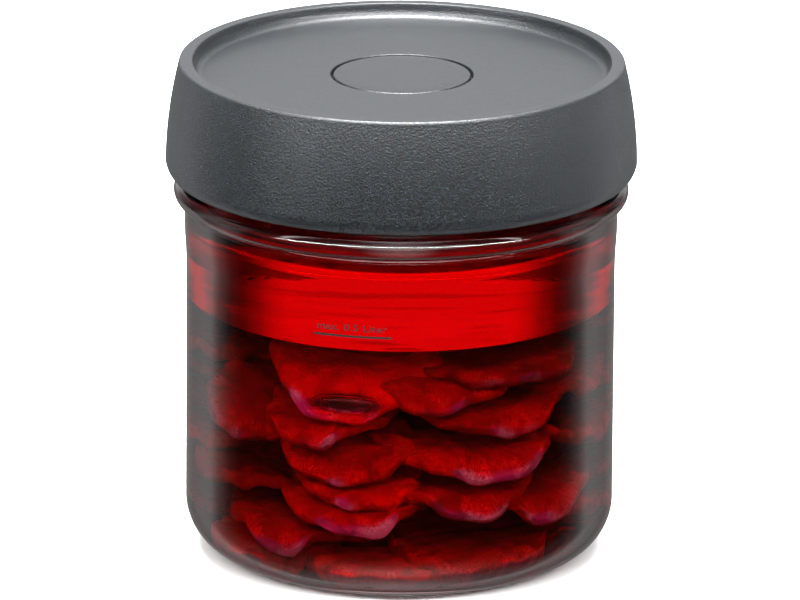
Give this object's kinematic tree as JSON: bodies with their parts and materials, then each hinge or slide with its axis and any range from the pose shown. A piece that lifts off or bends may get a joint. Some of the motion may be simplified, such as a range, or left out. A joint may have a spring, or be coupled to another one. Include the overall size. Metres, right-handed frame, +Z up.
{
  "type": "fermentation jar with beet slices",
  "caption": "Wide glass fermentation jar of beet slices under a thick glass weight, with a recessed grey push-on lid and a round vent disc.",
  "frame": {"origin": "centre of the jar's foot ring, at the level of the table it stands on", "axes": "+Z up along the jar's axis, -Y towards the side with the fill mark, +X to the right seen from there"},
  "size_m": [0.1164, 0.1164, 0.1248],
  "materials": {
    "jar_glass": "clear, smooth and glossy",
    "weight_glass": "clear, smooth and glossy",
    "lid_plastic": "satin grey plastic with fine metallic flake",
    "vent_plastic": "satin grey plastic, finely grained",
    "beet": "wet cut root, dark red"
  },
  "bodies": {
    "root": {"glass_jar": "jar_glass", "glass_weight": "weight_glass", "lid": "lid_plastic", "vent_disc": "vent_plastic", "beet_slices": "beet"}
  },
  "joints": []
}
